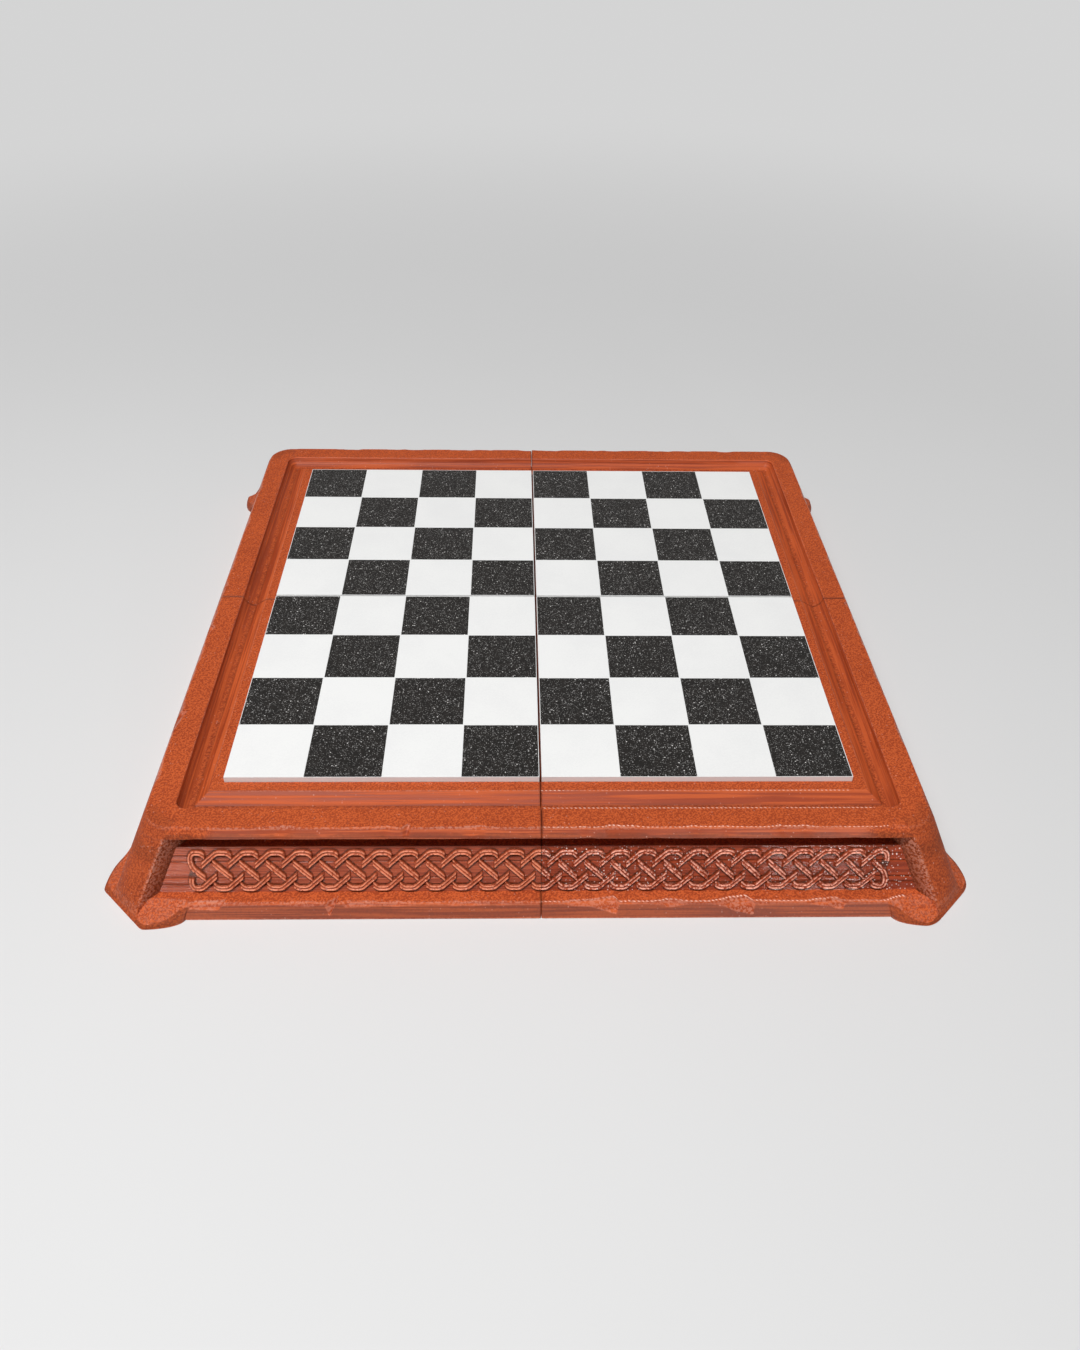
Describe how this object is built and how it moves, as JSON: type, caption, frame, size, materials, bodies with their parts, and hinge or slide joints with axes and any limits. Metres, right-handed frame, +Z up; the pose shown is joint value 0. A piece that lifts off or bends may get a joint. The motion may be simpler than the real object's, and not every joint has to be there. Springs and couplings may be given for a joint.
{
  "type": "game board",
  "caption": "Chequered game board in quarters: terracotta tray frames with knotwork side panels and corner feet, white plates with black inlay squares, and dowel pins at the seams",
  "frame": {"origin": "centre of the board's underside, on the table", "axes": "+Z up, +X to the right and +Y away from the player at the front"},
  "size_m": [0.4418, 0.4418, 0.045],
  "materials": {
    "terracotta": "printed, satin, with fine layer lines",
    "white": "printed, satin",
    "black": "printed, with fine silver glitter",
    "pin": "printed, plain"
  },
  "bodies": {
    "back_left": {"frame_back_left": "terracotta", "plate_back_left": "white", "tile_b5": "black", "tile_d5": "black", "tile_a6": "black", "tile_c6": "black", "tile_b7": "black", "tile_d7": "black", "tile_a8": "black", "tile_c8": "black", "pin_back_inner": "pin", "pin_back_outer": "pin", "pin_left_inner": "pin", "pin_left_outer": "pin"},
    "back_right": {"frame_back_right": "terracotta", "plate_back_right": "white", "tile_f5": "black", "tile_h5": "black", "tile_e6": "black", "tile_g6": "black", "tile_f7": "black", "tile_h7": "black", "tile_e8": "black", "tile_g8": "black", "pin_right_inner": "pin", "pin_right_outer": "pin"},
    "front_left": {"frame_front_left": "terracotta", "plate_front_left": "white", "tile_b1": "black", "tile_d1": "black", "tile_a2": "black", "tile_c2": "black", "tile_b3": "black", "tile_d3": "black", "tile_a4": "black", "tile_c4": "black", "pin_front_inner": "pin", "pin_front_outer": "pin"},
    "front_right": {"frame_front_right": "terracotta", "plate_front_right": "white", "tile_f1": "black", "tile_h1": "black", "tile_e2": "black", "tile_g2": "black", "tile_f3": "black", "tile_h3": "black", "tile_e4": "black", "tile_g4": "black"}
  },
  "joints": [
    {"name": "right_pull", "type": "slide", "parent": "back_left", "child": "back_right", "axis": [1, 0, 0], "range_m": [0, 0.06]},
    {"name": "front_pull", "type": "slide", "parent": "back_left", "child": "front_left", "axis": [0, -1, 0], "range_m": [0, 0.06]},
    {"name": "front_right_pull", "type": "slide", "parent": "back_right", "child": "front_right", "axis": [0, -1, 0], "range_m": [0, 0.06]}
  ],
  "couplings": [
    {"joint": "front_right_pull", "follows": "front_pull", "ratio": 1}
  ]
}
